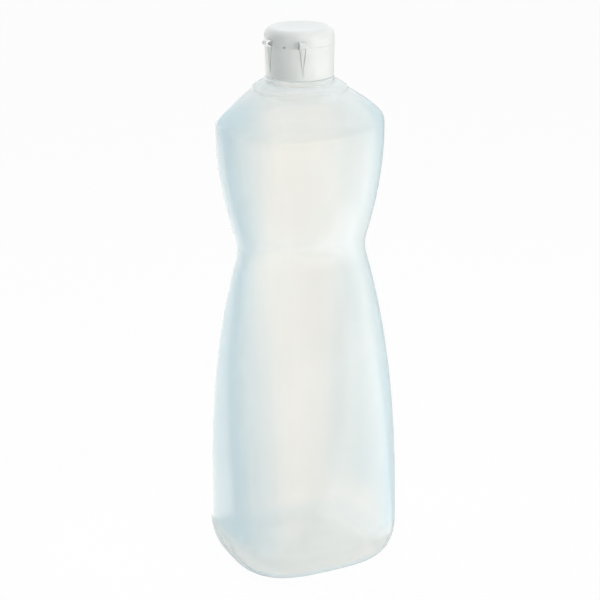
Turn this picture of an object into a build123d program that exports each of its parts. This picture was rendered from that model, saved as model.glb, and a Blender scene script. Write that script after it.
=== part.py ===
# Waisted blow-moulded bottle with a flip-top screw cap.
# Millimetres. The bottle stands on Z = 0, its broad front faces -Y, and +Z is up.
import os
from math import cos, pi, radians, sin, sqrt

from build123d import *

# Bottle body. Widths run along X and depths along Y, both across the whole body.
FOOT_WIDTH = 69.0
FOOT_DEPTH = 60.0
HEEL_HEIGHT = 18.0
BODY_WIDTH = 88.8
BODY_DEPTH = 76.8
WAIST_SHARE = 0.733
WAIST_WIDTH = 64.4
WAIST_DEPTH = 47.8
WAIST_SPAN = 6.5
WAIST_FLARE_BELOW = 0.27
WAIST_FLARE_ABOVE = 0.29
WAIST_FLARE_FRONT = 0.27
SHOULDER_HEIGHT = 221.0
SHOULDER_WIDTH = 82.0
SHOULDER_DEPTH = 59.0
SHOULDER_EDGE_RISE = 5.7
SHOULDER_EDGE_INSET_SIDE = 1.0
SHOULDER_EDGE_INSET_FRONT = 2.5
SHOULDER_EDGE_SLOPE = 0.75
CROWN_RISE = 20.1
CROWN_WIDTH = 42.4
SQUARENESS_BODY = 3.0
SQUARENESS_WAIST = 2.2
SQUARENESS_SHOULDER = 2.4
SQUARENESS_CROWN = 2.05
WALL = 1.0
FLOOR = 1.2
STANDING_RING = 5.0
PUSH_UP = 3.0
SECTION_POINTS = 32

# Collar, neck ring and neck of the bottle.
COLLAR_RADIUS = 22.6
COLLAR_SINK = 7.1
COLLAR_RIM_DROP = 0.7
COLLAR_BEAD = 0.9
COLLAR_BULGE = 0.6
NECK_RING_RADIUS = 16.4
COLLAR_DOME_RISE = 3.4
NECK_RING_HEIGHT = 2.3
NECK_RADIUS = 12.5
NECK_BORE_RADIUS = 10.8

# Screw cap with its flip lid.
CAP_GAP = 0.5
SKIRT_HEIGHT = 15.3
CAP_FOOT_RADIUS = 16.2
CAP_RADIUS = 16.5
CAP_BORE_RADIUS = 14.0
CAP_EDGE_ROUND = 0.4
DECK_THICKNESS = 1.6
SNAP_RING_RADIUS = 14.5
SNAP_RING_WALL = 1.1
SNAP_RING_HEIGHT = 1.5
SPOUT_RADIUS = 4.5
SPOUT_HEIGHT = 2.7
SPOUT_ROUND = 0.8
ORIFICE_RADIUS = 2.5
WASHER_THICKNESS = 1.0
WASHER_RADIUS = 13.6
WASHER_HOLE_RADIUS = 6.0
LID_HEIGHT = 7.6
LID_CORNER = 3.0
LID_WALL = 1.7
LID_ROOF = 1.2
DISH_DEPTH = 0.8
PIN_RADIUS = 2.1
PIN_REACH = 1.6
PIN_TIP = 0.6
THUMB_RADIUS = 7.0
THUMB_DEPTH = 1.3
THUMB_DROP = 1.0

# Moulded hinge. HINGE_ANGLE is counted from the front, -Y, towards -X.
HINGE_ANGLE = 51.0
FILM_START = 3.0
FILM_END = 24.0
FILM_HEIGHT = 0.5
FILM_WALL = 0.6
FILM_INSET = 0.2
STRAP_ANGLE = 31.0
NOTCH_WIDTH = 3.5
NOTCH_LENGTH = 12.9
NOTCH_DEPTH = 0.9
STRAP_WALL = 0.5
STRAP_WIDTH = 2.7
STRAP_RISE = 3.0
STRAP_BULGE = 2.4
STRAP_CLEARANCE = 0.3

# Heights worked out from the sizes above. The waist lies at a share of the shoulder's height.
WAIST_HEIGHT = SHOULDER_HEIGHT * WAIST_SHARE
CROWN_HEIGHT = SHOULDER_HEIGHT + CROWN_RISE
COLLAR_FOOT = CROWN_HEIGHT - COLLAR_SINK
COLLAR_RIM = CROWN_HEIGHT - COLLAR_RIM_DROP
NECK_RING_FOOT = COLLAR_RIM + COLLAR_DOME_RISE
NECK_RING_TOP = NECK_RING_FOOT + NECK_RING_HEIGHT
CAP_BOTTOM = NECK_RING_TOP + CAP_GAP
PARTING_HEIGHT = CAP_BOTTOM + SKIRT_HEIGHT
DECK_UNDERSIDE = PARTING_HEIGHT - DECK_THICKNESS
NECK_TOP = DECK_UNDERSIDE - WASHER_THICKNESS
LID_TOP = PARTING_HEIGHT + LID_HEIGHT
LID_CEILING = LID_TOP - DISH_DEPTH - LID_ROOF
LID_INSIDE_RADIUS = CAP_RADIUS - LID_WALL
SPOUT_TOP = PARTING_HEIGHT + SPOUT_HEIGHT
NOTCH_FLOOR = CAP_RADIUS - NOTCH_DEPTH
FILM_RADIUS = CAP_RADIUS - FILM_INSET


def smooth_through(stations, height):
    """Value at a height of a smooth curve through (height, value, slope) stations."""
    for (low, first, leave), (high, last, arrive) in zip(stations, stations[1:]):
        if height <= high:
            break
    step = high - low
    t = (height - low) / step
    start = first * (1 + 2 * t) * (1 - t) ** 2 + leave * step * t * (1 - t) ** 2
    return start + last * t * t * (3 - 2 * t) - arrive * step * t * t * (1 - t)


def half_size(height, foot, belly, waist, shoulder, flares, edge_inset, wall, floor):
    """Half the width or depth of the body at a height, moved in by the wall."""
    if height < HEEL_HEIGHT:
        rise = (HEEL_HEIGHT - height) / (HEEL_HEIGHT - floor)
        return foot + (belly - wall - foot) * sqrt(max(0.0, 1 - rise * rise))
    below, above = flares
    edge_height = SHOULDER_HEIGHT + SHOULDER_EDGE_RISE
    edge = shoulder - edge_inset
    crown = CROWN_WIDTH / 2
    stations = [
        (HEEL_HEIGHT, belly, 0.0),
        (WAIST_HEIGHT - WAIST_SPAN, waist + below * WAIST_SPAN / 2, -below),
        (WAIST_HEIGHT, waist, 0.0),
        (WAIST_HEIGHT + WAIST_SPAN, waist + above * WAIST_SPAN / 2, above),
        (SHOULDER_HEIGHT, shoulder, 0.0),
        (edge_height, edge, -SHOULDER_EDGE_SLOPE),
        (CROWN_HEIGHT, crown, (crown - edge) / (CROWN_HEIGHT - edge_height)),
    ]
    return smooth_through(stations, height) - wall


def half_width(height, wall=0.0, floor=0.0):
    flares = (WAIST_FLARE_BELOW, WAIST_FLARE_ABOVE)
    sizes = (FOOT_WIDTH / 2, BODY_WIDTH / 2, WAIST_WIDTH / 2, SHOULDER_WIDTH / 2)
    return half_size(height, *sizes, flares, SHOULDER_EDGE_INSET_SIDE, wall, floor)


def half_depth(height, wall=0.0, floor=0.0):
    flares = (WAIST_FLARE_FRONT, WAIST_FLARE_FRONT)
    sizes = (FOOT_DEPTH / 2, BODY_DEPTH / 2, WAIST_DEPTH / 2, SHOULDER_DEPTH / 2)
    return half_size(height, *sizes, flares, SHOULDER_EDGE_INSET_FRONT, wall, floor)


def squareness(height):
    stations = [
        (HEEL_HEIGHT, SQUARENESS_BODY, 0.0),
        (WAIST_HEIGHT, SQUARENESS_WAIST, 0.0),
        (SHOULDER_HEIGHT, SQUARENESS_SHOULDER, 0.0),
        (CROWN_HEIGHT, SQUARENESS_CROWN, 0.0),
    ]
    return smooth_through(stations, max(height, HEEL_HEIGHT))


def outline(across, deep, power):
    """Points round a rounded oblong of the given half sizes."""
    points = []
    for i in range(SECTION_POINTS):
        turn = 2 * pi * i / SECTION_POINTS
        reach = (abs(cos(turn)) / across) ** power + (abs(sin(turn)) / deep) ** power
        points.append((cos(turn) * reach ** (-1 / power), sin(turn) * reach ** (-1 / power)))
    return points


def ring(points):
    """A closed curve through the points, paced by their angle so that rings at all heights match."""
    pace = [i / SECTION_POINTS for i in range(SECTION_POINTS + 1)]
    return Edge.make_spline(points, parameters=pace, periodic=True)


def floor_outline(height, thickness):
    """Outline of the pushed-up floor, whose edge slopes in at 45 degrees, at a height."""
    across = FOOT_WIDTH / 2 - STANDING_RING - height + thickness
    deep = FOOT_DEPTH / 2 - STANDING_RING - height + thickness
    return outline(across, deep, SQUARENESS_BODY)


def body_heights(floor):
    """Heights of the sections: close together where the body curves most."""
    heel = [HEEL_HEIGHT - (HEEL_HEIGHT - floor) * cos(pi / 2 * i / 6) for i in range(7)]
    low, high = WAIST_HEIGHT - 2 * WAIST_SPAN, WAIST_HEIGHT + 2 * WAIST_SPAN
    lower = [HEEL_HEIGHT + (low - HEEL_HEIGHT) * i / 10 for i in range(1, 11)]
    waist = [low + (high - low) * i / 6 for i in range(1, 7)]
    upper = [high + (SHOULDER_HEIGHT - high) * i / 4 for i in range(1, 5)]
    crown = [SHOULDER_HEIGHT + (CROWN_HEIGHT - SHOULDER_HEIGHT) * i / 8 for i in range(1, 9)]
    return heel + lower + waist + upper + crown


def hinge_point(offset, radius, height):
    """A point at an angle from the middle of the hinge."""
    turn = radians(HINGE_ANGLE + offset)
    return (-sin(turn) * radius, -cos(turn) * radius, height)


def hinge_plane(offset, radius, height):
    """A plane facing outward on the cap: its x runs sideways and its y runs up."""
    turn = radians(HINGE_ANGLE + offset)
    outward = (-sin(turn), -cos(turn), 0)
    return Plane(
        origin=hinge_point(offset, radius, height),
        x_dir=(cos(turn), -sin(turn), 0),
        z_dir=outward,
    )


os.makedirs("parts", exist_ok=True)

# The bottle is one blown moulding: body, pushed-up floor, collar, neck ring and neck.
with BuildPart() as bottle:
    for height in body_heights(0.0):
        with BuildSketch(Plane.XY.offset(height)):
            with BuildLine():
                add(ring(outline(half_width(height), half_depth(height), squareness(height))))
            make_face()
    loft()
    with BuildSketch(Plane.XZ):
        with BuildLine():
            Line((0, COLLAR_FOOT), (COLLAR_RADIUS, COLLAR_FOOT))
            Line((COLLAR_RADIUS, COLLAR_FOOT), (COLLAR_RADIUS, COLLAR_RIM))
            bead_end = (COLLAR_RADIUS - COLLAR_BEAD, COLLAR_RIM + COLLAR_BEAD)
            RadiusArc((COLLAR_RADIUS, COLLAR_RIM), bead_end, -COLLAR_BEAD)
            dome_end = (NECK_RING_RADIUS, NECK_RING_FOOT)
            SagittaArc(bead_end, dome_end, COLLAR_BULGE)
            Polyline(dome_end, (NECK_RING_RADIUS, NECK_RING_TOP), (0, NECK_RING_TOP), (0, COLLAR_FOOT))
        make_face()
    revolve(axis=Axis.Z)
    with BuildSketch(Plane.XY.offset(NECK_RING_TOP)):
        Circle(NECK_RADIUS)
    extrude(amount=NECK_TOP - NECK_RING_TOP)
    for height in body_heights(FLOOR):
        with BuildSketch(Plane.XY.offset(height)):
            with BuildLine():
                across = half_width(height, WALL, FLOOR)
                add(ring(outline(across, half_depth(height, WALL, FLOOR), squareness(height))))
            make_face()
    loft(mode=Mode.SUBTRACT)
    with BuildSketch(Plane.XZ):
        with BuildLine():
            inside = CROWN_WIDTH / 2 - 3 * WALL
            Polyline(
                (0, COLLAR_RIM - WALL),
                (inside, COLLAR_RIM - WALL),
                (inside, CROWN_HEIGHT - WALL / 2),
                (NECK_BORE_RADIUS, NECK_RING_FOOT - WALL),
                (NECK_BORE_RADIUS, NECK_TOP),
                (0, NECK_TOP),
                close=True,
            )
        make_face()
    revolve(axis=Axis.Z, mode=Mode.SUBTRACT)
    for height in (FLOOR / 2, PUSH_UP + FLOOR):
        with BuildSketch(Plane.XY.offset(height)):
            with BuildLine():
                add(ring(floor_outline(height, 1.5 * FLOOR)))
            make_face()
    loft(ruled=True)
    for height in (-FLOOR, PUSH_UP):
        with BuildSketch(Plane.XY.offset(height)):
            with BuildLine():
                add(ring(floor_outline(height, 0.0)))
            make_face()
    loft(ruled=True, mode=Mode.SUBTRACT)
bottle.part.label = "bottle"
export_step(bottle.part, "parts/bottle.step")

# The sealing washer lies between the lip of the neck and the deck of the cap.
with BuildPart() as sealing_washer:
    with BuildSketch(Plane.XY.offset(NECK_TOP)):
        Circle(WASHER_RADIUS)
        Circle(WASHER_HOLE_RADIUS, mode=Mode.SUBTRACT)
    extrude(amount=WASHER_THICKNESS)
sealing_washer.part.label = "sealing_washer"
export_step(sealing_washer.part, "parts/sealing_washer.step")

# The cap base carries the skirt, the deck, the snap ring and the spout.
with BuildPart() as cap_base:
    with BuildSketch(Plane.XZ):
        with BuildLine():
            Polyline(
                (CAP_BORE_RADIUS, CAP_BOTTOM),
                (CAP_FOOT_RADIUS, CAP_BOTTOM),
                (CAP_RADIUS, PARTING_HEIGHT),
                (SNAP_RING_RADIUS, PARTING_HEIGHT),
                (SNAP_RING_RADIUS, PARTING_HEIGHT + SNAP_RING_HEIGHT),
                (SNAP_RING_RADIUS - SNAP_RING_WALL, PARTING_HEIGHT + SNAP_RING_HEIGHT),
                (SNAP_RING_RADIUS - SNAP_RING_WALL, PARTING_HEIGHT),
                (SPOUT_RADIUS, PARTING_HEIGHT),
                (SPOUT_RADIUS, SPOUT_TOP - SPOUT_ROUND),
                (SPOUT_RADIUS - SPOUT_ROUND, SPOUT_TOP),
                (ORIFICE_RADIUS, SPOUT_TOP),
                (ORIFICE_RADIUS, DECK_UNDERSIDE),
                (CAP_BORE_RADIUS, DECK_UNDERSIDE),
                close=True,
            )
        make_face()
    revolve(axis=Axis.Z)
    foot_edges = cap_base.edges().filter_by(GeomType.CIRCLE).group_by(Axis.Z)[0].sort_by(SortBy.RADIUS)
    fillet(foot_edges[-1], CAP_EDGE_ROUND)
    for side in (-STRAP_ANGLE, STRAP_ANGLE):
        with BuildSketch(hinge_plane(side, NOTCH_FLOOR, PARTING_HEIGHT)):
            with BuildLine():
                Polyline((-NOTCH_WIDTH / 2, 0), (NOTCH_WIDTH / 2, 0), (0, -NOTCH_LENGTH), close=True)
            make_face()
        extrude(amount=2 * NOTCH_DEPTH, mode=Mode.SUBTRACT)
    thumb_reach = CAP_RADIUS + THUMB_RADIUS - THUMB_DEPTH
    with Locations(hinge_point(180.0, thumb_reach, PARTING_HEIGHT - THUMB_DROP)):
        Sphere(THUMB_RADIUS, mode=Mode.SUBTRACT)
cap_base.part.label = "cap_base"
export_step(cap_base.part, "parts/cap_base.step")

# The lid closes over the snap ring, and its pin plugs the spout.
with BuildPart() as lid:
    with BuildSketch(Plane.XZ):
        with BuildLine():
            Polyline(
                (0, LID_TOP - DISH_DEPTH),
                (0, SPOUT_TOP - PIN_REACH),
                (PIN_RADIUS - PIN_TIP, SPOUT_TOP - PIN_REACH),
                (PIN_RADIUS, SPOUT_TOP - PIN_REACH + PIN_TIP),
                (PIN_RADIUS, LID_CEILING),
                (LID_INSIDE_RADIUS - LID_ROOF, LID_CEILING),
                (LID_INSIDE_RADIUS, LID_CEILING - LID_ROOF),
                (LID_INSIDE_RADIUS, PARTING_HEIGHT),
                (CAP_RADIUS, PARTING_HEIGHT),
                (CAP_RADIUS, LID_TOP - LID_CORNER),
            )
            RadiusArc((CAP_RADIUS, LID_TOP - LID_CORNER), (CAP_RADIUS - LID_CORNER, LID_TOP), -LID_CORNER)
            dish_radius = (CAP_RADIUS - LID_CORNER) ** 2 / (2 * DISH_DEPTH) + DISH_DEPTH / 2
            RadiusArc((CAP_RADIUS - LID_CORNER, LID_TOP), (0, LID_TOP - DISH_DEPTH), dish_radius)
        make_face()
    revolve(axis=Axis.Z)
    for side in (-STRAP_ANGLE, STRAP_ANGLE):
        pocket_height = STRAP_RISE + STRAP_CLEARANCE
        with BuildSketch(hinge_plane(side, NOTCH_FLOOR, PARTING_HEIGHT + pocket_height / 2)):
            Rectangle(NOTCH_WIDTH, pocket_height)
        extrude(amount=2 * NOTCH_DEPTH, mode=Mode.SUBTRACT)
    with BuildSketch(Plane.XY.offset(PARTING_HEIGHT)):
        with BuildLine():
            film_inside = FILM_RADIUS - FILM_WALL
            groove_end = STRAP_ANGLE
            outer = 1.2 * CAP_RADIUS
            ThreePointArc(
                hinge_point(-groove_end, film_inside, 0),
                hinge_point(0, film_inside, 0),
                hinge_point(groove_end, film_inside, 0),
            )
            Line(hinge_point(groove_end, film_inside, 0), hinge_point(groove_end, outer, 0))
            ThreePointArc(
                hinge_point(groove_end, outer, 0),
                hinge_point(0, outer, 0),
                hinge_point(-groove_end, outer, 0),
            )
            Line(hinge_point(-groove_end, outer, 0), hinge_point(-groove_end, film_inside, 0))
        make_face()
    extrude(amount=FILM_HEIGHT, mode=Mode.SUBTRACT)
lid.part.label = "lid"
export_step(lid.part, "parts/lid.step")

# Two thin films join the lid to the cap base on either side of the middle of the hinge.
films = {"hinge_film_left": (FILM_START, FILM_END), "hinge_film_right": (-FILM_END, -FILM_START)}
for name, (start, end) in films.items():
    middle = (start + end) / 2
    with BuildPart() as film:
        with BuildSketch(Plane.XY.offset(PARTING_HEIGHT)):
            with BuildLine():
                inner = FILM_RADIUS - FILM_WALL
                ThreePointArc(
                    hinge_point(start, inner, 0), hinge_point(middle, inner, 0), hinge_point(end, inner, 0)
                )
                Line(hinge_point(end, inner, 0), hinge_point(end, FILM_RADIUS, 0))
                ThreePointArc(
                    hinge_point(end, FILM_RADIUS, 0),
                    hinge_point(middle, FILM_RADIUS, 0),
                    hinge_point(start, FILM_RADIUS, 0),
                )
                Line(hinge_point(start, FILM_RADIUS, 0), hinge_point(start, inner, 0))
            make_face()
        extrude(amount=FILM_HEIGHT)
    film.part.label = name
    export_step(film.part, f"parts/{name}.step")

# A tapered strap lies in each notch and folds outward at its top, where it meets the lid.
for name, side in {"hinge_strap_left": STRAP_ANGLE, "hinge_strap_right": -STRAP_ANGLE}.items():
    with BuildPart() as strap:
        with BuildSketch(hinge_plane(side, NOTCH_FLOOR, PARTING_HEIGHT)):
            with BuildLine():
                tip = -NOTCH_LENGTH * STRAP_WIDTH / NOTCH_WIDTH
                Polyline((-STRAP_WIDTH / 2, 0), (STRAP_WIDTH / 2, 0), (0, tip), close=True)
            make_face()
        extrude(amount=STRAP_WALL)
        flank = hinge_plane(side, NOTCH_FLOOR, PARTING_HEIGHT)
        with BuildSketch(Plane(origin=flank.origin, x_dir=flank.z_dir, z_dir=-flank.x_dir)):
            with BuildLine():
                ThreePointArc((0, 0), (STRAP_BULGE, STRAP_RISE / 2), (0, STRAP_RISE))
                Line((0, STRAP_RISE), (0, 0))
            make_face()
        extrude(amount=STRAP_WIDTH / 2, both=True)
    strap.part.label = name
    export_step(strap.part, f"parts/{name}.step")
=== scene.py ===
import math

import bmesh
import bpy
from mathutils import Matrix, Vector


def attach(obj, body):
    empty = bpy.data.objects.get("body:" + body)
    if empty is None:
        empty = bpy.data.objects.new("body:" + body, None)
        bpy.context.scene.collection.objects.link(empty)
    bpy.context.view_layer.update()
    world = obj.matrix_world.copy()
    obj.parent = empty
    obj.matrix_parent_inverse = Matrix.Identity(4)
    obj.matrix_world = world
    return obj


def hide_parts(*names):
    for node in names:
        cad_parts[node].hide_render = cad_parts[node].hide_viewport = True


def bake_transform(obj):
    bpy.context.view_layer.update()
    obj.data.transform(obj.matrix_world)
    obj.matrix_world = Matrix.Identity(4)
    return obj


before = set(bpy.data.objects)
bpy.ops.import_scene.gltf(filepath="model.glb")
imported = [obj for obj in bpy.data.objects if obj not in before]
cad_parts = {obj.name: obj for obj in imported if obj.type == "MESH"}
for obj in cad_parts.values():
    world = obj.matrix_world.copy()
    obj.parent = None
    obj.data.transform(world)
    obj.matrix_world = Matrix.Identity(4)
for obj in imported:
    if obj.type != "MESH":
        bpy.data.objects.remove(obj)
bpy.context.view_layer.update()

# The bottle is one blown moulding of natural polyethylene with a wall of about a millimetre.
# Its sections are rounded oblongs that swell at the belly and draw in at the waist, and its floor
# is pushed up so that it stands on a ring. The whole wall, outside and in, is one closed skin.
MM = 0.001
FOOT, BELLY, WAIST, SHOULDER, CROWN = (34.5, 30.0), (44.4, 38.4), (32.2, 23.9), (41.0, 29.5), 21.2
HEEL_HEIGHT, WAIST_HEIGHT, SHOULDER_HEIGHT, CROWN_HEIGHT = 18.0, 161.99, 221.0, 241.1
WAIST_BLEND, SHOULDER_BLEND, SHOULDER_LEAN = 6.5, 5.7, 0.75
WALL, FLOOR, PUSH_UP, STANDING_RING = 1.0, 1.2, 3.0, 5.0
DOME_SIDE, DOME_FRONT = 9.48, 4.14
COLLAR_RADIUS, COLLAR_RIM, COLLAR_ROUND, COLLAR_BULGE = 22.6, 240.4, 0.9, 2.4
NECK_RING_RADIUS, NECK_RING_FOOT, NECK_RING_TOP, NECK_RING_ROUND = 16.4, 243.8, 246.1, 0.5
NECK_RADIUS, NECK_BORE, NECK_TOP, NECK_FILLET, LIP_ROUND = 12.5, 10.8, 259.3, 0.8, 0.5
SQUARE, ROUND, CENTRE = 3.0, 2.0, 0.001
POINTS_ROUND = 160


def smooth_through(stations, height):
    """The value at a height on a smooth line through stations of (height, value, slope)."""
    for (low, first, leave), (high, last, arrive) in zip(stations, stations[1:]):
        if height <= high:
            break
    step = high - low
    t = (height - low) / step
    start = first * (1 + 2 * t) * (1 - t) ** 2 + leave * step * t * (1 - t) ** 2
    return start + last * t * t * (3 - 2 * t) - arrive * step * t * t * (1 - t)


def half_size(height, way, flare_below, flare_above, edge_inset):
    """Half the body's width (way 0) or depth (way 1) at a height."""
    edge = SHOULDER[way] - edge_inset
    stations = [
        (HEEL_HEIGHT, BELLY[way], 0.0),
        (WAIST_HEIGHT - WAIST_BLEND, WAIST[way] + flare_below * WAIST_BLEND / 2, -flare_below),
        (WAIST_HEIGHT, WAIST[way], 0.0),
        (WAIST_HEIGHT + WAIST_BLEND, WAIST[way] + flare_above * WAIST_BLEND / 2, flare_above),
        (SHOULDER_HEIGHT, SHOULDER[way], 0.0),
        (SHOULDER_HEIGHT + SHOULDER_BLEND, edge, -SHOULDER_LEAN),
        (CROWN_HEIGHT, CROWN, (CROWN - edge) / (CROWN_HEIGHT - SHOULDER_HEIGHT - SHOULDER_BLEND)),
    ]
    return smooth_through(stations, height)


def body_ring(side_height, front_height, wall):
    """A ring of the body: half width, half depth, height, squareness and how far its front hangs."""
    squareness = smooth_through([
        (HEEL_HEIGHT, SQUARE, 0.0), (WAIST_HEIGHT, 2.2, 0.0),
        (SHOULDER_HEIGHT, 2.4, 0.0), (CROWN_HEIGHT, 2.05, 0.0)], side_height)
    across = half_size(side_height, 0, 0.27, 0.29, 1.0) - wall
    deep = half_size(front_height, 1, 0.27, 0.27, 2.5) - wall
    return across, deep, side_height, squareness, side_height - front_height


def round_ring(radius, height, drop=0.0):
    return radius, radius, height, ROUND, drop


def steps(first, last, count):
    return [first + (last - first) * i / count for i in range(1, count + 1)]


def steps_through(levels, counts):
    return [step for low, high, count in zip(levels, levels[1:], counts) for step in steps(low, high, count)]


def arc_rings(radius, height, size, first, last, count):
    """Round rings along an arc about a centre, from one angle in quarter turns to another."""
    turns = [quarter * math.pi / 2 for quarter in [first] + steps(first, last, count)]
    return [round_ring(radius + size * math.cos(turn), height + size * math.sin(turn)) for turn in turns]


# The path of the wall, ring by ring: under the floor, up the outside, over the lip, down the inside.
stand = [half - STANDING_RING for half in FOOT]
rings = [(CENTRE, CENTRE, PUSH_UP, SQUARE, 0.0)]
for inset, height in (
        (-26, 3.0), (-18, 3.0), (-9, 3.0), (-3.7, 3.0), (-3.2, 2.93), (-2.7, 2.65), (-1.8, 1.8), (-0.9, 0.85),
        (-0.35, 0.35), (0.2, 0.1), (0.8, 0.0), (2.0, 0.0), (4.2, 0.0), (5.0, 0.0)):
    share = max(0.12, (stand[1] + inset) / stand[1])
    rings.append((max(stand[0] + inset, stand[0] * share), stand[1] * share, height, SQUARE, 0.0))
for turn in steps(0.0, math.pi / 2, 26):
    sizes = [foot + (belly - foot) * math.sin(turn) for foot, belly in zip(FOOT, BELLY)]
    rings.append((*sizes, HEEL_HEIGHT * (1 - math.cos(turn)), SQUARE, 0.0))
levels = (HEEL_HEIGHT, 148.0, 176.0, 218.0, 230.0)
rings += [body_ring(height, height, 0.0) for height in steps_through(levels, (34, 34, 14, 20))]
rings += [body_ring(levels[-1] + DOME_SIDE * t, levels[-1] + DOME_FRONT * t, 0.0) for t in steps(0.0, 1.0, 10)]
for radius, side, front in (
        (23.05, 239.78, 235.5), (22.78, 240.08, 236.4), (22.65, 240.26, 237.2), (22.6, 240.34, 238.2),
        (COLLAR_RADIUS, COLLAR_RIM, COLLAR_RIM - 0.6)):
    rings.append(round_ring(radius, side, side - front))
rings += arc_rings(COLLAR_RADIUS - COLLAR_ROUND, COLLAR_RIM, COLLAR_ROUND, 0, 1, 7)[1:]
slope = ((COLLAR_RADIUS - COLLAR_ROUND, NECK_RING_RADIUS, 0.427), (COLLAR_RIM + COLLAR_ROUND, NECK_RING_FOOT, 0.904))
for t in steps(0.0, 1.0, 14):
    bulge = COLLAR_BULGE * t * (1 - t)
    rings.append(round_ring(*(start + (end - start) * t + away * bulge for start, end, away in slope)))
rings.append(round_ring(NECK_RING_RADIUS - 0.05, NECK_RING_FOOT + 0.12))
rings.append(round_ring(NECK_RING_RADIUS, NECK_RING_FOOT + 0.4))
rings += arc_rings(NECK_RING_RADIUS - NECK_RING_ROUND, NECK_RING_TOP - NECK_RING_ROUND, NECK_RING_ROUND, 0, 1, 5)
rings += arc_rings(NECK_RADIUS + NECK_FILLET, NECK_RING_TOP + NECK_FILLET, NECK_FILLET, -1, -2, 5)
rings += arc_rings(NECK_RADIUS - LIP_ROUND, NECK_TOP - LIP_ROUND, LIP_ROUND, 0, 1, 4)
rings += arc_rings(NECK_BORE + LIP_ROUND, NECK_TOP - LIP_ROUND, LIP_ROUND, 1, 2, 4)
outside = len(rings)
for radius, height in (
        (NECK_BORE, 250.0), (NECK_BORE, 243.4), (11.0, 242.9), (12.0, 242.45), (15.0, 241.6), (17.5, 241.05),
        (19.2, 240.7)):
    rings.append(round_ring(radius, height))
heights = [240.0, 238.0, 235.0, 232.0] + steps_through(levels[::-1], (8, 8, 14, 18))
rings += [body_ring(height, height, WALL) for height in heights]
for turn in steps(math.pi / 2, 0.0, 12):
    sizes = [foot + (belly - WALL - foot) * math.sin(turn) for foot, belly in zip(FOOT, BELLY)]
    rings.append((*sizes, HEEL_HEIGHT - (HEEL_HEIGHT - FLOOR) * math.cos(turn), SQUARE, 0.0))
for inset, height in (
        (1.6, 1.2), (0.9, 1.25), (0.3, 1.6), (-1.9, 3.75), (-2.5, 4.12), (-3.2, 4.2), (-12.0, 4.2), (-22.0, 4.2)):
    rings.append((stand[0] + inset, stand[1] + inset, height, SQUARE, 0.0))
rings.append((CENTRE, CENTRE, PUSH_UP + FLOOR, SQUARE, 0.0))


def add_node(tree, kind, inputs=(), **settings):
    """A new node with its settings and inputs, each input a value or another node's socket."""
    made = tree.nodes.new(kind)
    for name, value in settings.items():
        setattr(made, name, value)
    for name, value in dict(inputs).items():
        if isinstance(value, bpy.types.NodeSocket):
            tree.links.new(value, made.inputs[name])
        else:
            made.inputs[name].default_value = value
    return made


def calc(tree, operation, first, second=0.0):
    return add_node(tree, "ShaderNodeMath", {0: first, 1: second}, operation=operation).outputs[0]


def new_tree(name, inputs):
    """A Geometry Nodes tree with named inputs, and its input and output nodes."""
    tree = bpy.data.node_groups.new(name, "GeometryNodeTree")
    for label, kind, value in inputs:
        made = tree.interface.new_socket(label, in_out="INPUT", socket_type=kind)
        if value is not None:
            made.default_value = value
    tree.interface.new_socket("Mesh", in_out="OUTPUT", socket_type="NodeSocketGeometry")
    return tree, tree.nodes.new("NodeGroupInput"), tree.nodes.new("NodeGroupOutput")


def end_tree(tree, source, target, mesh):
    """Shades the mesh smooth, makes it real and gives it the tree's material."""
    smooth = add_node(tree, "GeometryNodeSetShadeSmooth", {"Geometry": mesh})
    real = add_node(tree, "GeometryNodeRealizeInstances", {"Geometry": smooth.outputs[0]})
    inputs = {"Geometry": real.outputs[0], "Material": source.outputs["Material"]}
    painted = add_node(tree, "GeometryNodeSetMaterial", inputs)
    tree.links.new(painted.outputs[0], target.inputs[0])


def grown(name, start, tree, material, values):
    """The plain mesh object that a tree makes from a start mesh, with its inputs set."""
    made = bpy.data.objects.new(name, start)
    bpy.context.scene.collection.objects.link(made)
    modifier = made.modifiers.new(tree.name, "NODES")
    modifier.node_group = tree
    values = {"Material": material, **values}
    for item in tree.interface.items_tree:
        if item.in_out == "INPUT" and item.name in values:
            modifier[item.identifier] = values[item.name]
    shape = bpy.data.meshes.new_from_object(made.evaluated_get(bpy.context.evaluated_depsgraph_get()))
    made.modifiers.clear()
    made.data = shape
    shape.name = name
    mesh = bmesh.new()
    mesh.from_mesh(shape)
    bmesh.ops.recalc_face_normals(mesh, faces=mesh.faces)
    mesh.to_mesh(shape)
    mesh.free()
    return made


# A grid with one row for each ring is bent round: each row takes its ring's sizes, squareness and
# hang, and its first and last columns are merged.
tree, source, target = new_tree("bottle_wall", [
    ("Rings", "NodeSocketGeometry", None), ("Points Round", "NodeSocketInt", POINTS_ROUND),
    ("Material", "NodeSocketMaterial", None)])
count = add_node(tree, "GeometryNodeAttributeDomainSize", {"Geometry": source.outputs["Rings"]})
columns = calc(tree, "ADD", source.outputs["Points Round"], 1.0)
sheet = add_node(tree, "GeometryNodeMeshGrid", {"Vertices X": count.outputs["Point Count"], "Vertices Y": columns})
index = tree.nodes.new("GeometryNodeInputIndex").outputs[0]
row = calc(tree, "FLOOR", calc(tree, "DIVIDE", index, columns))
column = calc(tree, "SUBTRACT", index, calc(tree, "MULTIPLY", row, columns))
turn = calc(tree, "MULTIPLY", calc(tree, "DIVIDE", column, source.outputs["Points Round"]), 2 * math.pi)
cosine, sine = calc(tree, "COSINE", turn), calc(tree, "SINE", turn)


def of_ring(value, kind):
    """The value that the row's own ring holds."""
    inputs = {"Geometry": source.outputs["Rings"], "Value": value, "Index": row}
    return add_node(tree, "GeometryNodeSampleIndex", inputs, data_type=kind).outputs[0]


def of_ring_named(label):
    named = add_node(tree, "GeometryNodeInputNamedAttribute", {"Name": label}, data_type="FLOAT")
    return of_ring(named.outputs["Attribute"], "FLOAT")


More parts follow.
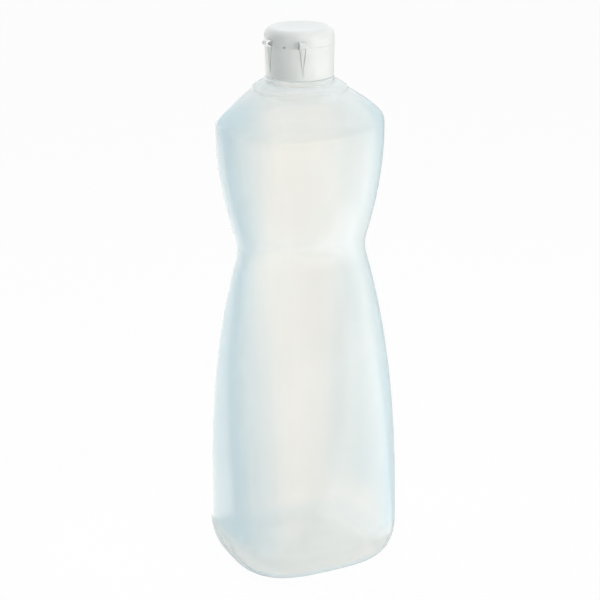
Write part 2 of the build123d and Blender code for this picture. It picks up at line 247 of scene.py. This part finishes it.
spot = of_ring(tree.nodes.new("GeometryNodeInputPosition").outputs[0], "FLOAT_VECTOR")
sizes = add_node(tree, "ShaderNodeSeparateXYZ", {0: spot}).outputs
power, front_drop, inside = [of_ring_named(label) for label in ("squareness", "front_drop", "inside")]
across = calc(tree, "POWER", calc(tree, "DIVIDE", calc(tree, "ABSOLUTE", cosine), sizes[0]), power)
deep = calc(tree, "POWER", calc(tree, "DIVIDE", calc(tree, "ABSOLUTE", sine), sizes[1]), power)
reach = calc(tree, "POWER", calc(tree, "ADD", across, deep), calc(tree, "DIVIDE", -1.0, power))
drop = calc(tree, "MULTIPLY", front_drop, calc(tree, "POWER", calc(tree, "ABSOLUTE", sine), 4.0))
spot = add_node(tree, "ShaderNodeCombineXYZ", {
    0: calc(tree, "MULTIPLY", reach, cosine), 1: calc(tree, "MULTIPLY", reach, sine),
    2: calc(tree, "SUBTRACT", sizes[2], drop)})
skin = add_node(tree, "GeometryNodeSetPosition", {"Geometry": sheet.outputs["Mesh"], "Position": spot.outputs[0]})
marked = add_node(tree, "GeometryNodeStoreNamedAttribute", {
    "Geometry": skin.outputs[0], "Name": "inside", "Value": inside}, data_type="FLOAT", domain="POINT")
closed = add_node(tree, "GeometryNodeMergeByDistance", {"Geometry": marked.outputs[0], "Distance": 0.000004})
end_tree(tree, source, target, closed.outputs[0])


def new_material(name):
    """An empty material, its tree and its output node."""
    made = bpy.data.materials.new(name)
    made.use_nodes = True
    made.node_tree.nodes.clear()
    output = made.node_tree.nodes.new("ShaderNodeOutputMaterial")
    return made, made.node_tree, output


def noise(tree, vector, scale, detail, roughness=0.5):
    inputs = {"Vector": vector, "Scale": scale, "Detail": detail, "Roughness": roughness}
    return add_node(tree, "ShaderNodeTexNoise", inputs).outputs["Fac"]


def two_tones(tree, value, *stops):
    """A colour ramp with two stops of (place, colour)."""
    made = add_node(tree, "ShaderNodeValToRGB", {"Fac": value})
    for element, (place, colour) in zip(made.color_ramp.elements, stops):
        element.position, element.color = place, colour
    return made.outputs[0]


def ramp(tree, value, start, end, first=0.0, last=1.0, kind="SMOOTHSTEP"):
    """Goes from first to last while the value goes from start to end."""
    inputs = {"Value": value, 1: start, 2: end, 3: first, 4: last}
    return add_node(tree, "ShaderNodeMapRange", inputs, interpolation_type=kind).outputs[0]


def between(tree, share, first, last):
    return ramp(tree, share, 0.0, 1.0, first, last, "LINEAR")


def mix(tree, share, first, last):
    """A mix of two shading nodes."""
    return add_node(tree, "ShaderNodeMixShader", {0: share, 1: first.outputs[0], 2: last.outputs[0]})


# Natural polyethylene is milky: it lets white light through a little yellowed and scatters the blue.
# The wall is clearest where it is looked at squarely. Its skin is satin, with slight waves from the
# blowing and a fine seam at each end where the halves of the mould met.
CLEAR_SQUARELY, CLEAR_AT_A_SLANT, CLEAR_HEEL, CLEAR_UNDER, CLEAR_INSIDE = 0.72, 0.04, 0.64, 0.3, 0.97
SIDE_SHADE_CLEAR_SHARE, NECK_SHARE = 0.6, 0.65
natural, paint, output = new_material("natural_polyethylene")
coords = paint.nodes.new("ShaderNodeTexCoord").outputs["Object"]
position = add_node(paint, "ShaderNodeSeparateXYZ", {0: coords}).outputs
aside_x, aside_y = calc(paint, "ABSOLUTE", position[0]), calc(paint, "ABSOLUTE", position[1])
# Painted shade: where the wall turns away from the front, the sides of the oblong get a bluer glow and a cloudier
# wall. The floor of the bottle also gets a bluer glow. Both stand in for the dim blue light there.
ends = ramp(paint, aside_x, 0.021, 0.036)
seam = ramp(paint, aside_y, 0.0, 0.0003, 1.0, 0.0)
under = ramp(paint, position[2], 0.004, 0.007, 1.0, 0.0)
low = ramp(paint, position[2], 0.004, 0.02, 1.0, 0.0, "LINEAR")
heel = ramp(paint, position[2], 0.012, 0.024, 1.0, 0.0)
neckward = ramp(paint, position[2], 0.219, 0.226, 1.0, NECK_SHARE)
high = ramp(paint, position[2], 0.222, 0.2405, kind="LINEAR")
inside = add_node(paint, "ShaderNodeAttribute", attribute_name="inside").outputs["Fac"]
cloud = noise(paint, coords, 28.0, 3.0, 0.55)
ripple = noise(paint, coords, 45.0, 1.0, 0.4)
blue = two_tones(paint, cloud, (0.35, (0.72, 0.89, 0.97, 1)), (0.65, (0.75, 0.91, 0.98, 1)))
warm = two_tones(paint, cloud, (0.35, (0.92, 0.955, 0.965, 1)), (0.65, (0.95, 0.965, 0.97, 1)))
satin = between(paint, cloud, 0.12, 0.20)
waves = calc(paint, "ADD", calc(paint, "MULTIPLY", seam, 0.5), calc(paint, "MULTIPLY", ripple, 0.25))
relief = add_node(paint, "ShaderNodeBump", {"Height": waves, "Strength": 0.25, "Distance": 0.0002}).outputs[0]
slant = add_node(paint, "ShaderNodeLayerWeight", {"Blend": 0.5, "Normal": relief}).outputs["Facing"]
# Near the base, and from the shoulder to the collar, the scatter is paler and takes a larger share. This is partly
# the thicker plastic there and partly painted light that brightens the heel and the collar, which fall in shade.
thick = calc(paint, "MULTIPLY", calc(paint, "ADD", high, low), 0.75)
pale_thick_and_painted_light = add_node(paint, "ShaderNodeMixRGB", {0: thick, 1: blue, 2: (0.94, 0.96, 0.96, 1)})
scatter = add_node(paint, "ShaderNodeBsdfDiffuse", {"Color": pale_thick_and_painted_light.outputs[0], "Normal": relief})
# Painted shade: the glow turns bluer at the sides and on the floor of the bottle.
painted_cool_shade = calc(paint, "MAXIMUM", ends, calc(paint, "MULTIPLY", under, 0.65))
glow_with_painted_cool_shade = add_node(paint, "ShaderNodeMixRGB", {0: painted_cool_shade, 1: warm, 2: (0.75, 0.885, 0.955, 1)})
glow = add_node(paint, "ShaderNodeBsdfTranslucent", {"Color": glow_with_painted_cool_shade.outputs[0], "Normal": relief})
milky = mix(paint, between(paint, high, 0.8, 0.65), scatter, glow)
clear = add_node(paint, "ShaderNodeBsdfTransparent", {"Color": (1.0, 0.98, 0.955, 1)})
outer = ramp(paint, slant, 0.04, 0.48, CLEAR_SQUARELY, CLEAR_AT_A_SLANT)
# Painted shade: the sides are made less clear, so they read darker and bluer.
outer = calc(paint, "MULTIPLY", outer, between(paint, ends, 1.0, SIDE_SHADE_CLEAR_SHARE))
outer = calc(paint, "MULTIPLY", between(paint, heel, outer, CLEAR_HEEL), neckward)
through = between(paint, inside, between(paint, under, outer, CLEAR_UNDER), CLEAR_INSIDE)
wall = mix(paint, through, milky, clear)
shine = add_node(paint, "ShaderNodeBsdfGlossy", {"Roughness": satin, "Normal": relief})
edge = calc(paint, "ADD", calc(paint, "MULTIPLY", calc(paint, "POWER", slant, 5.0), 0.9), 0.04)
gloss = calc(paint, "MULTIPLY", edge, between(paint, inside, 1.0, 0.25))
paint.links.new(mix(paint, gloss, wall, shine).outputs[0], output.inputs["Surface"])

path = bpy.data.meshes.new("bottle_rings")
path.from_pydata([(across * MM, deep * MM, height * MM) for across, deep, height, *_ in rings], [], [])
for label, values in (
        ("squareness", [ring[3] for ring in rings]), ("front_drop", [ring[4] * MM for ring in rings]),
        ("inside", [float(i >= outside) for i in range(len(rings))])):
    path.attributes.new(label, "FLOAT", "POINT").data.foreach_set("value", values)
bottle = grown("bottle_shell", path, tree, natural, {"Points Round": POINTS_ROUND})
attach(bottle, "bottle")
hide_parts("bottle")

# The screw thread on the neck is blown with the bottle: one and a half turns of a rounded ridge.
# It takes the ridge inside the cap, and both fade out at their ends.
PITCH, TURNS, THREAD_FOOT, THREAD_RADIUS, THREAD_RIDGE = 4.23, 1.5, 249.6, 12.6, 1.0
ridge_tree, source, target = new_tree("screw_ridge", [
    ("Start", "NodeSocketGeometry", None), ("Radius", "NodeSocketFloat", 0.0125),
    ("Pitch", "NodeSocketFloat", 0.00423), ("Turns", "NodeSocketFloat", 1.5), ("Height", "NodeSocketFloat", 0.25),
    ("Ridge", "NodeSocketFloat", 0.0012), ("Material", "NodeSocketMaterial", None)])
rise = calc(ridge_tree, "MULTIPLY", source.outputs["Pitch"], source.outputs["Turns"])
helix = add_node(ridge_tree, "GeometryNodeCurveSpiral", {
    "Resolution": 64, "Rotations": source.outputs["Turns"], "Start Radius": source.outputs["Radius"],
    "End Radius": source.outputs["Radius"], "Height": rise, "Reverse": False})
upright = add_node(ridge_tree, "GeometryNodeSetCurveNormal", {"Curve": helix.outputs[0]}, mode="Z_UP")
along = ridge_tree.nodes.new("GeometryNodeSplineParameter").outputs["Factor"]
left = calc(ridge_tree, "SUBTRACT", 1.0, along)
ends = calc(ridge_tree, "MULTIPLY", calc(ridge_tree, "MULTIPLY", along, left), 24.0)
fade = calc(ridge_tree, "MAXIMUM", calc(ridge_tree, "MINIMUM", ends, 1.0), 0.05)
thick = add_node(ridge_tree, "GeometryNodeSetCurveRadius", {"Curve": upright.outputs[0], "Radius": fade})
ridge = add_node(ridge_tree, "GeometryNodeCurvePrimitiveCircle", {
    "Resolution": 14, "Radius": source.outputs["Ridge"]})
swept = add_node(ridge_tree, "GeometryNodeCurveToMesh", {
    "Curve": thick.outputs[0], "Profile Curve": ridge.outputs[0], "Fill Caps": True})
lift = add_node(ridge_tree, "ShaderNodeCombineXYZ", {2: source.outputs["Height"]})
raised = add_node(ridge_tree, "GeometryNodeTransform", {
    "Geometry": swept.outputs[0], "Translation": lift.outputs[0]})
end_tree(ridge_tree, source, target, raised.outputs[0])
neck_thread = grown("neck_thread", bpy.data.meshes.new("neck_thread_start"), ridge_tree, natural, {
    "Radius": THREAD_RADIUS * MM, "Pitch": PITCH * MM, "Turns": TURNS, "Height": THREAD_FOOT * MM,
    "Ridge": THREAD_RIDGE * MM})
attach(neck_thread, "bottle")

# The sealing washer is a ring of white foamed polyethylene that lies loose in the cap.
# The cap presses it on the lip of the neck.
foam, paint, output = new_material("white_foam")
coords = paint.nodes.new("ShaderNodeTexCoord").outputs["Object"]
cells = add_node(paint, "ShaderNodeTexVoronoi", {"Vector": coords, "Scale": 2600.0}).outputs["Distance"]
tone = two_tones(paint, cells, (0.0, (0.72, 0.72, 0.69, 1)), (1.0, (0.82, 0.82, 0.79, 1)))
relief = add_node(paint, "ShaderNodeBump", {"Height": cells, "Strength": 0.4, "Distance": 0.0001}).outputs[0]
surface = add_node(paint, "ShaderNodeBsdfPrincipled", {"Base Color": tone, "Roughness": 0.75, "Normal": relief})
paint.links.new(surface.outputs[0], output.inputs["Surface"])
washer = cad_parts["sealing_washer"]
washer.data.materials.clear()
washer.data.materials.append(foam)

# The cap base is moulded in white polypropylene: a plain skirt, a deck with a spout and a snap ring.
# It screws on the neck. Two notches beside the hinge take the straps, and a scallop takes the thumb.
CAP_RADIUS, CAP_FOOT_RADIUS, CAP_BORE, CAP_BOTTOM, PARTING, DECK = 16.5, 16.2, 14.0, 246.6, 261.9, 1.6
SNAP_OUTER, SNAP_INNER, SNAP_HEIGHT, SPOUT_RADIUS, SPOUT_BORE, SPOUT_HEIGHT = 14.5, 13.4, 1.5, 4.5, 2.5, 2.7
NOTCH_FLOOR, NOTCH_HALF, NOTCH_TIP, NOTCH_LENGTH, CUT_DEPTH = 15.95, 1.75, 0.12, 12.9, 3.0
SCALLOP_RADIUS, SCALLOP_REACH, SCALLOP_DROP = 7.0, 22.2, 1.0
HINGE_ANGLE, STRAP_ANGLE, SHARP_ANGLE = 51.0, 31.0, 32

white, paint, output = new_material("white_polypropylene")
coords = paint.nodes.new("ShaderNodeTexCoord").outputs["Object"]
cloud = noise(paint, coords, 90.0, 3.0)
grain = noise(paint, coords, 900.0, 2.0)
tone = two_tones(paint, cloud, (0.3, (0.80, 0.82, 0.80, 1)), (0.7, (0.84, 0.855, 0.84, 1)))
satin = between(paint, cloud, 0.28, 0.40)
relief = add_node(paint, "ShaderNodeBump", {"Height": grain, "Strength": 0.08, "Distance": 0.0001}).outputs[0]
surface = add_node(paint, "ShaderNodeBsdfPrincipled", {
    "Base Color": tone, "Roughness": satin, "IOR": 1.49, "Normal": relief})
paint.links.new(surface.outputs[0], output.inputs["Surface"])


def rounded(corners):
    """A closed outline of (radius, height, rounding) corners, with each corner turned into a short arc."""
    points = []
    for i, (r, z, fillet) in enumerate(corners):
        here = Vector((r, z))
        if fillet == 0:
            points.append(here)
            continue
        before = (Vector(corners[i - 1][:2]) - here).normalized()
        after = (Vector(corners[(i + 1) % len(corners)][:2]) - here).normalized()
        half = before.angle(after) / 2
        reach = fillet / math.tan(half)
        centre = here + (before + after).normalized() * (fillet / math.sin(half))
        first, last = here + before * reach - centre, here + after * reach - centre
        sweep = first.angle_signed(last)
        count = max(2, int(abs(sweep) * max(2.0, 5.0 * math.sqrt(fillet))))
        for k in range(count + 1):
            angle = -sweep * k / count
            points.append(centre + Vector((first.x * math.cos(angle) - first.y * math.sin(angle),
                                           first.x * math.sin(angle) + first.y * math.cos(angle))))
    return points


def placed(name, mesh):
    """Makes an object of the scene from an editable mesh of closed pieces, with its faces outward."""
    bmesh.ops.recalc_face_normals(mesh, faces=mesh.faces)
    shape = bpy.data.meshes.new(name)
    mesh.to_mesh(shape)
    mesh.free()
    made = bpy.data.objects.new(name, shape)
    bpy.context.scene.collection.objects.link(made)
    return made


def turned(name, outline, segments=128):
    """A closed solid of revolution about the neck's axis from a closed outline in millimetres."""
    mesh = bmesh.new()
    verts = [mesh.verts.new((p.x * MM, 0, p.y * MM)) for p in outline]
    edges = [mesh.edges.new((a, b)) for a, b in zip(verts, verts[1:] + verts[:1])]
    bmesh.ops.spin(mesh, geom=verts + edges, cent=(0, 0, 0), axis=(0, 0, 1), angle=2 * math.pi, steps=segments,
                   use_merge=True, use_duplicate=False)
    bmesh.ops.remove_doubles(mesh, verts=mesh.verts, dist=1e-6)
    bmesh.ops.dissolve_degenerate(mesh, edges=mesh.edges, dist=1e-7)
    return placed(name, mesh)


def hinge_matrix(offset, radius, height):
    """Places a piece on the cap: its x runs sideways, its y up and its z outward."""
    angle = math.radians(HINGE_ANGLE + offset)
    side = Vector((math.cos(angle), -math.sin(angle), 0))
    outward = Vector((-math.sin(angle), -math.cos(angle), 0))
    turn = Matrix((side, Vector((0, 0, 1)), outward)).transposed().to_4x4()
    return Matrix.Translation((outward * radius + Vector((0, 0, height))) * MM) @ turn


def prism(name, corners, near, far, matrix):
    """A solid with the outline of the corners between two depths."""
    mesh = bmesh.new()
    low = [mesh.verts.new((x * MM, y * MM, near * MM)) for x, y in corners]
    high = [mesh.verts.new((x * MM, y * MM, far * MM)) for x, y in corners]
    mesh.faces.new(low[::-1])
    mesh.faces.new(high)
    for i in range(len(corners)):
        j = (i + 1) % len(corners)
        mesh.faces.new((low[i], low[j], high[j], high[i]))
    mesh.transform(matrix)
    return placed(name, mesh)


def strap_cutters(name, corners):
    """A cutter at each strap, from the floor of the notch outward."""
    return [prism(name, corners, 0.0, CUT_DEPTH, hinge_matrix(side, NOTCH_FLOOR, PARTING))
            for side in (-STRAP_ANGLE, STRAP_ANGLE)]


def cut(piece, cutters, material):
    """Takes the cutters out of the piece and shades it smooth between its sharp edges."""
    for cutter in cutters:
        hole = piece.modifiers.new(cutter.name, "BOOLEAN")
        hole.operation, hole.solver, hole.object = "DIFFERENCE", "EXACT", cutter
    shape = bpy.data.meshes.new_from_object(piece.evaluated_get(bpy.context.evaluated_depsgraph_get()))
    piece.modifiers.clear()
    piece.data = shape
    for cutter in cutters:
        bpy.data.objects.remove(cutter)
    shape.shade_smooth()
    shape.set_sharp_from_angle(angle=math.radians(SHARP_ANGLE))
    shape.materials.clear()
    shape.materials.append(material)
    return piece


cap_base = turned("cap_skirt", rounded([
    (CAP_BORE, CAP_BOTTOM, 0.3), (CAP_FOOT_RADIUS, CAP_BOTTOM, 0.5), (CAP_RADIUS, PARTING, 0.15),
    (SNAP_OUTER, PARTING, 0.15), (SNAP_OUTER, PARTING + SNAP_HEIGHT, 0.3), (SNAP_INNER, PARTING + SNAP_HEIGHT, 0.3),
    (SNAP_INNER, PARTING, 0.2), (SPOUT_RADIUS, PARTING, 0.4), (SPOUT_RADIUS, PARTING + SPOUT_HEIGHT, 0.9),
    (SPOUT_BORE, PARTING + SPOUT_HEIGHT, 0.3), (SPOUT_BORE, PARTING - DECK, 0.0), (CAP_BORE, PARTING - DECK, 0.3)]))
cutters = strap_cutters("notch", [
    (-NOTCH_HALF, 0.5), (NOTCH_HALF, 0.5), (NOTCH_HALF, 0.0),
    (NOTCH_TIP, -NOTCH_LENGTH), (-NOTCH_TIP, -NOTCH_LENGTH), (-NOTCH_HALF, 0.0)])
scoop = bmesh.new()
bmesh.ops.create_uvsphere(scoop, u_segments=48, v_segments=32, radius=SCALLOP_RADIUS * MM,
                          matrix=hinge_matrix(180.0, SCALLOP_REACH, PARTING - SCALLOP_DROP))
cutters.append(placed("thumb_scallop", scoop))
cut(cap_base, cutters, white)
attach(cap_base, "cap")
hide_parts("cap_base")

# The ridge inside the cap is moulded with it, in the same white polypropylene.
# It lies between the turns of the neck's thread and pulls the cap down on the washer.
CAP_RIDGE_RADIUS, CAP_RIDGE = 13.9, 0.9
cap_thread = grown("cap_thread", bpy.data.meshes.new("cap_thread_start"), ridge_tree, white, {
    "Radius": CAP_RIDGE_RADIUS * MM, "Pitch": PITCH * MM, "Turns": TURNS,
    "Height": (THREAD_FOOT - PITCH / 2) * MM, "Ridge": CAP_RIDGE * MM})
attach(cap_thread, "cap")

# The lid is moulded with the cap in the same white polypropylene and turns on its hinge.
# Its top is a shallow dish, its wall closes over the snap ring and its pin plugs the spout.
LID_TOP, LID_CEILING, BAND_TOP, DISH_RADIUS, DISH_DEPTH = 269.5, 267.5, 265.5, 12.8, 0.8
CORNER_OUT, CORNER_UP, CORNER_DROP, DISH_RISE = 3.5, 3.58, 3.6, 0.76
PIN_RADIUS, PIN_FOOT, POCKET_HALF, POCKET_TOP = 2.1, PARTING + 1.1, 1.65, 3.15
FILM_INNER, FILM_HEIGHT, DISH_STEPS = 15.7, 0.5, 12


def hinge_band(first, last, count, inner, outer):
    """The outline from above of a band round the cap between two angles to the left of the hinge."""
    turns = [math.radians(-90 - HINGE_ANGLE - a) for a in [first] + steps(first, last, count)]
    near = [(inner * math.cos(turn), inner * math.sin(turn)) for turn in turns]
    return near + [(outer * math.cos(turn), outer * math.sin(turn)) for turn in turns[::-1]]


corner = [(DISH_RADIUS + CORNER_OUT * math.cos(turn), LID_TOP - CORNER_DROP + CORNER_UP * math.sin(turn), 0.0)
          for turn in [math.radians(a) for a in range(6, 96, 6)]]
dish = [(DISH_RADIUS * i / DISH_STEPS, LID_TOP - DISH_DEPTH + DISH_RISE * (i / DISH_STEPS) ** 2, 0.0)
        for i in range(DISH_STEPS - 1, 0, -1)]
lid = turned("lid_shell", rounded([
    (0.0, PIN_FOOT, 0.0), (PIN_RADIUS, PIN_FOOT, 0.6), (PIN_RADIUS, LID_CEILING, 0.4), (12.6, LID_CEILING, 1.2),
    (14.6, 265.3, 0.8), (14.8, PARTING, 0.15), (CAP_RADIUS, PARTING, 0.2), (CAP_RADIUS, BAND_TOP, 0.12),
    *corner, *dish, (0.0, LID_TOP - DISH_DEPTH, 0.0)]))
cutters = strap_cutters("pocket", [
    (-POCKET_HALF, -0.5), (POCKET_HALF, -0.5), (POCKET_HALF, POCKET_TOP), (-POCKET_HALF, POCKET_TOP)])
groove = hinge_band(31.0, -31.0, 31, FILM_INNER, 20.0)
cutters.append(prism("film_groove", groove, PARTING - 1.0, PARTING + FILM_HEIGHT, Matrix.Identity(4)))
cut(lid, cutters, white)
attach(lid, "lid")
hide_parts("lid")

# The hinge is part of the same moulding: two thin films that fold, and a tapered strap on each side
# that snaps the lid open or shut.
FILM_OUTER = 16.55
STRAP_DEPTH, STRAP_FOOT, STRAP_RUN, STRAP_TOP, STRAP_HALF_THICKNESS = 0.25, -9.9, 9.7, 2.95, 0.24
FOLD_OUT, FOLD_MIDDLE, FOLD_HALF_HEIGHT, FOLD_STEPS, STRAP_EDGE = 2.8, 1.55, 1.3, 18, 0.06

for name, first, last in (("hinge_film_left", 3.0, 24.0), ("hinge_film_right", -24.0, -3.0)):
    strip = hinge_band(first, last, 14, FILM_INNER, FILM_OUTER)
    film = prism(name + "_fold", strip, PARTING, PARTING + FILM_HEIGHT, Matrix.Identity(4))
    cut(film, [], white)
    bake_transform(film)
    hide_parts(name)

# A strap runs up the notch, folds out in a loop over the parting line and ends in the lid's pocket.
run = [(STRAP_DEPTH, STRAP_FOOT + STRAP_RUN * i / 8) for i in range(9)]
turns = [math.pi * i / FOLD_STEPS for i in range(FOLD_STEPS + 1)]
fold = [(STRAP_DEPTH + FOLD_OUT * math.sin(turn), FOLD_MIDDLE - FOLD_HALF_HEIGHT * math.cos(turn)) for turn in turns]
line = run + fold + [(STRAP_DEPTH, STRAP_TOP)]
for name, side in (("hinge_strap_left", STRAP_ANGLE), ("hinge_strap_right", -STRAP_ANGLE)):
    mesh = bmesh.new()
    ribs = []
    for i, (out, up) in enumerate(line):
        ahead, behind = line[min(i + 1, len(line) - 1)], line[max(i - 1, 0)]
        along = Vector((ahead[0] - behind[0], ahead[1] - behind[1])).normalized()
        skew = Vector((along.y, -along.x)) * (STRAP_HALF_THICKNESS + 0.12 * max(0.0, out - STRAP_DEPTH))
        taper, widening = min(1.0, (up - STRAP_FOOT) / STRAP_RUN), min(1.0, max(0.0, up + 0.8))
        wide = 0.1 + 1.0 * taper + 0.45 * widening
        ribs.append([mesh.verts.new((x * MM, (up + skew.y * s) * MM, (out + skew.x * s) * MM)) for x, s in (
            (-wide, -1), (wide, -1), (wide + STRAP_EDGE, 0), (wide, 1), (-wide, 1), (-wide - STRAP_EDGE, 0))])
    for lower, upper in zip(ribs, ribs[1:]):
        for i in range(6):
            j = (i + 1) % 6
            mesh.faces.new((lower[i], lower[j], upper[j], upper[i]))
    mesh.faces.new(ribs[0][::-1])
    mesh.faces.new(ribs[-1])
    mesh.transform(hinge_matrix(side, NOTCH_FLOOR, PARTING))
    strap = cut(placed(name + "_fold", mesh), [], white)
    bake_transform(strap)
    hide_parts(name)

# The floor is a plain white sheet that runs out to the white surround and keeps a soft shadow.
# The camera sees it nearly as bright as the surround, and the bottle is lit by it as by white paper.
FLOOR_HALF = 6
floor_paint, paint, output = new_material("white_floor")
matt = add_node(paint, "ShaderNodeBsdfDiffuse", {"Color": (0.93, 0.93, 0.92, 1)})
bright = add_node(paint, "ShaderNodeEmission", {"Color": (1, 1, 1, 1), "Strength": 1.0})
light = paint.nodes.new("ShaderNodeLightPath").outputs
passing = calc(paint, "MAXIMUM", light["Is Camera Ray"], light["Is Transmission Ray"])
seen = mix(paint, calc(paint, "MULTIPLY", passing, 0.95), matt, bright)
paint.links.new(seen.outputs[0], output.inputs["Surface"])
shape = bpy.data.meshes.new("floor")
shape.from_pydata([(x * FLOOR_HALF, y * FLOOR_HALF, 0) for x, y in ((-1, -1), (1, -1), (1, 1), (-1, 1))], [],
                  [(0, 1, 2, 3)])
shape.materials.append(floor_paint)
floor = bpy.data.objects.new("floor", shape)
bpy.context.scene.collection.objects.link(floor)

# The surround is a white studio. The camera sees it plain white, and the bottle is lit by it:
# full from behind, and dimmer from a broad side in front, a little to the right of the camera.
AZIMUTH, DIM_BEARING, FULL, DIM = 25.281, 28, 1.18, 0.3
azimuth = math.radians(AZIMUTH)
to_right = Vector((math.cos(azimuth), -math.sin(azimuth), 0))
to_viewer = Vector((-math.sin(azimuth), -math.cos(azimuth), 0))


def aside(bearing, distance, height):
    """A place at a bearing from the camera's side of the bottle, positive to the right."""
    turn = math.radians(bearing)
    return (to_viewer * math.cos(turn) + to_right * math.sin(turn)) * distance + Vector((0, 0, height))


world = bpy.data.worlds.new("studio")
world.use_nodes = True
bpy.context.scene.world = world
paint = world.node_tree
paint.nodes.clear()
output = paint.nodes.new("ShaderNodeOutputWorld")
light = paint.nodes.new("ShaderNodeLightPath").outputs
way = paint.nodes.new("ShaderNodeTexCoord").outputs["Generated"]
facing = {0: way, 1: tuple(aside(DIM_BEARING, 1.0, 0.0))}
nearer = add_node(paint, "ShaderNodeVectorMath", facing, operation="DOT_PRODUCT").outputs["Value"]
strength = ramp(paint, nearer, -0.8, -0.1, FULL, DIM)
soft = add_node(paint, "ShaderNodeBackground", {"Color": (0.93, 0.975, 1.0, 1), "Strength": strength})
plain = add_node(paint, "ShaderNodeBackground", {"Color": (1, 1, 1, 1), "Strength": 1.0})
both = mix(paint, light["Is Camera Ray"], soft, plain)
paint.links.new(both.outputs[0], output.inputs["Surface"])


# The lamps are softboxes and cards out of the picture. The two panels on the right and the card
# on the left only make the streaks on the satin skin, and the other four only light the bottle.
def softbox(name, place, aim, size, power, colour, mirrored=False, lights=True):
    data = bpy.data.lights.new(name, "AREA")
    data.shape, data.size, data.size_y, data.energy, data.color = "RECTANGLE", size[0], size[1], power, colour
    lamp = bpy.data.objects.new(name, data)
    lamp.location = place
    lamp.rotation_euler = (Vector(aim) - Vector(place)).to_track_quat("-Z", "Y").to_euler()
    lamp.visible_camera, lamp.visible_glossy = False, mirrored
    lamp.visible_diffuse = lamp.visible_transmission = lights
    bpy.context.scene.collection.objects.link(lamp)


def streak(name, place, aim, size, power, colour):
    softbox(name, place, aim, size, power, colour, mirrored=True, lights=False)


middle = Vector((0, 0, 0.134))
streak("right_low_panel", aside(67, 0.103, 0.0625), aside(10, 0.045, 0.1115),
       (0.09, 0.143), 0.07, (1.0, 0.97, 0.97))
streak("right_high_panel", aside(72, 0.171, 0.1875), aside(56, 0.09, 0.2365),
       (0.16, 0.143), 0.07, (1.0, 0.97, 0.97))
streak("left_card", aside(-140, 0.125, 0.12), aside(-140, 0.035, 0.17), (0.15, 0.27), 0.14, (1.0, 0.86, 0.78))
softbox("left_fill", aside(-112, 0.16, 0.15), aside(-112, 0.035, 0.15), (0.12, 0.2), 0.10, (1.0, 0.95, 0.92))
softbox("top_softbox", aside(60, 0.25, 1.0), middle, (0.8, 0.8), 3.7, (1.0, 0.99, 0.985))
softbox("key_softbox", aside(48, 1.1, 0.35), middle, (0.5, 0.5), 5.0, (1.0, 0.98, 0.95))
softbox("left_back", aside(-122, 0.8, 0.14), middle, (0.5, 0.5), 0.7, (1.0, 0.98, 0.96))

# The camera looks at the bottle from the front, a little to the left of it and from above.
# Its place, roll, focal length and shift were fitted to the bottle's outline in the photo.
ELEVATION, ROLL, DISTANCE = 19.433, 0.44, 0.8851
SENSOR, PICTURE, FOCAL_PIXELS, SHIFT_PIXELS = 36.0, 600.0, 2.03745 * 885.1, (-1.231, 0.096)
elevation, roll = math.radians(ELEVATION), math.radians(ROLL)
camera_data = bpy.data.cameras.new("camera")
camera_data.sensor_width, camera_data.lens = SENSOR, FOCAL_PIXELS * SENSOR / PICTURE
camera_data.shift_x, camera_data.shift_y = (shift / PICTURE for shift in SHIFT_PIXELS)
camera_data.clip_start, camera_data.clip_end = 0.01, 50.0
camera = bpy.data.objects.new("camera", camera_data)
back = to_viewer * math.cos(elevation) + Vector((0, 0, math.sin(elevation)))
above = back.cross(to_right)
right = to_right * math.cos(roll) - above * math.sin(roll)
above = to_right * math.sin(roll) + above * math.cos(roll)
turn = Matrix((right, above, back)).transposed().to_4x4()
camera.matrix_world = Matrix.Translation(middle + back * DISTANCE) @ turn
bpy.context.scene.collection.objects.link(camera)
bpy.context.scene.camera = camera
bpy.context.scene.view_settings.view_transform = "Standard"
